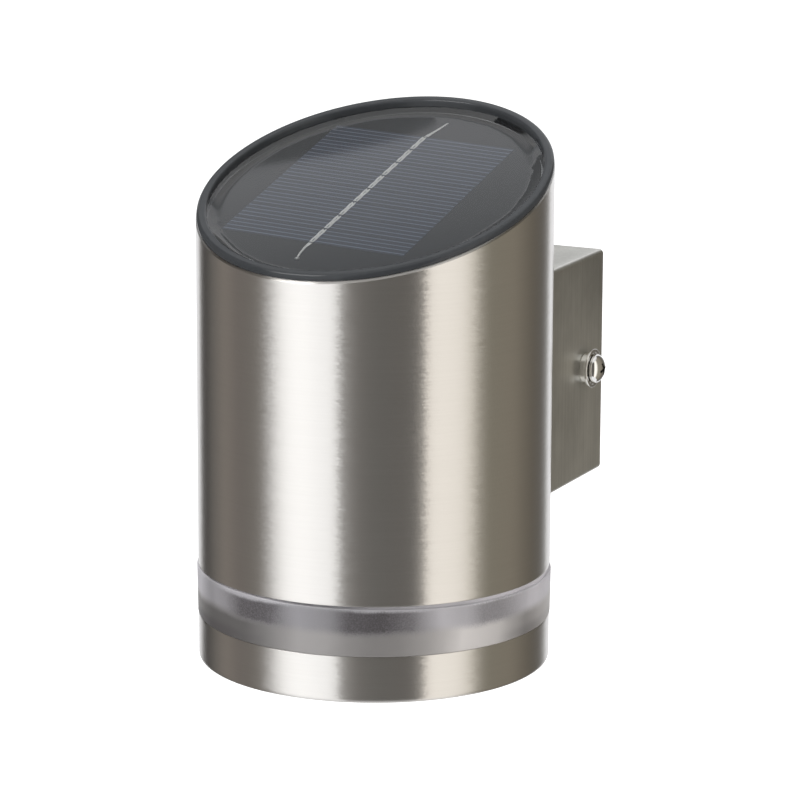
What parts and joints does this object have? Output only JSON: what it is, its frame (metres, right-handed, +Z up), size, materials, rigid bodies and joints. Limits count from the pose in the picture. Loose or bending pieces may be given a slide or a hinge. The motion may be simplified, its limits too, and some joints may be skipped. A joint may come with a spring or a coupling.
{
  "type": "solar wall light",
  "caption": "Brushed steel tube wall light with a sloping solar top, a frosted light band above a steel cap, and a square wall canopy held by side screws.",
  "frame": {"origin": "middle of the wall plate's back, between its two wall screw holes, in the plane of the wall", "axes": "+Y into the wall, +Z up along the tube, the light stands out towards -Y"},
  "size_m": [0.0906, 0.1228, 0.1393],
  "materials": {
    "brushed_tube_steel": "brushed round the tube",
    "canopy_steel": "satin sheet",
    "zinc_steel": "zinc plated",
    "polished_steel": "polished",
    "black_plastic": "moulded gloss",
    "seal_rubber": "matt",
    "panel_laminate": "matt",
    "silicon_cell": "smooth",
    "tinned_ribbon": "dull bright",
    "clear_resin": "glossy clear",
    "frosted_plastic": "frosted",
    "white_plastic": "matt moulded",
    "ivory_plastic": "matt moulded",
    "white_laminate": "solder mask",
    "led_resin": "phosphor",
    "green_laminate": "solder mask",
    "part_cases": "matt",
    "battery_can": "plain sleeve",
    "plated_steel": "nickel plated",
    "red_insulation": "soft",
    "grey_insulation": "soft"
  },
  "bodies": {
    "lamp_body": {"tube_body": "brushed_tube_steel", "solar_tray": "black_plastic", "tray_seal": "seal_rubber", "panel_board": "panel_laminate", "cell_strips": "silicon_cell", "cell_ribbons": "tinned_ribbon", "panel_resin": "clear_resin", "solar_lead": "red_insulation", "lead_plug": "ivory_plastic", "bracket_box": "canopy_steel", "bracket_screws": "zinc_steel", "bracket_nuts": "zinc_steel", "wall_plate": "zinc_steel", "ear_nuts": "zinc_steel", "side_collars": "polished_steel"},
    "light_unit": {"bottom_cap": "brushed_tube_steel", "lens_ring": "frosted_plastic", "upper_seal": "seal_rubber", "lower_seal": "seal_rubber", "unit_carrier": "white_plastic", "led_board": "white_laminate", "led_chips": "led_resin", "led_screws": "zinc_steel", "reflector_cone": "white_plastic", "cap_screws": "zinc_steel", "battery_holder": "black_plastic", "holder_screws": "zinc_steel", "battery_front": "battery_can", "battery_rear": "battery_can", "contact_plates": "plated_steel", "contact_springs": "plated_steel", "control_board": "green_laminate", "board_parts": "part_cases", "board_socket": "ivory_plastic", "board_screws": "zinc_steel", "battery_leads": "red_insulation", "led_leads": "grey_insulation", "switch_body": "plated_steel", "switch_screws": "zinc_steel", "switch_leads": "grey_insulation"},
    "switch_slider": {"switch_knob": "black_plastic"},
    "washer_right": {"side_washer_right": "polished_steel"},
    "washer_left": {"side_washer_left": "polished_steel"},
    "screw_right": {"side_screw_right": "polished_steel"},
    "screw_left": {"side_screw_left": "polished_steel"}
  },
  "joints": [
    {"name": "light_unit_pull", "type": "slide", "parent": "lamp_body", "child": "light_unit", "axis": [0, 0, -1], "range_m": [0, 0.06]},
    {"name": "switch_slide", "type": "slide", "parent": "light_unit", "child": "switch_slider", "axis": [1, 0, 0], "range_m": [0, 0.002]},
    {"name": "side_washer_right_slide", "type": "slide", "parent": "lamp_body", "child": "washer_right", "axis": [1, 0, 0], "range_m": [0, 0.007]},
    {"name": "side_screw_right_turn", "type": "hinge", "parent": "washer_right", "child": "screw_right", "pos_m": [0.0326, -0.0115, 0], "axis": [1, 0, 0], "range_deg": [0, 3610]},
    {"name": "side_washer_left_slide", "type": "slide", "parent": "lamp_body", "child": "washer_left", "axis": [-1, 0, 0], "range_m": [0, 0.007]},
    {"name": "side_screw_left_turn", "type": "hinge", "parent": "washer_left", "child": "screw_left", "pos_m": [-0.0326, -0.0115, 0], "axis": [-1, 0, 0], "range_deg": [0, 3610]}
  ],
  "couplings": [
    {"joint": "side_screw_right_turn", "follows": "side_washer_right_slide", "rad_per_m": 8976},
    {"joint": "side_screw_left_turn", "follows": "side_washer_left_slide", "rad_per_m": 8976}
  ]
}
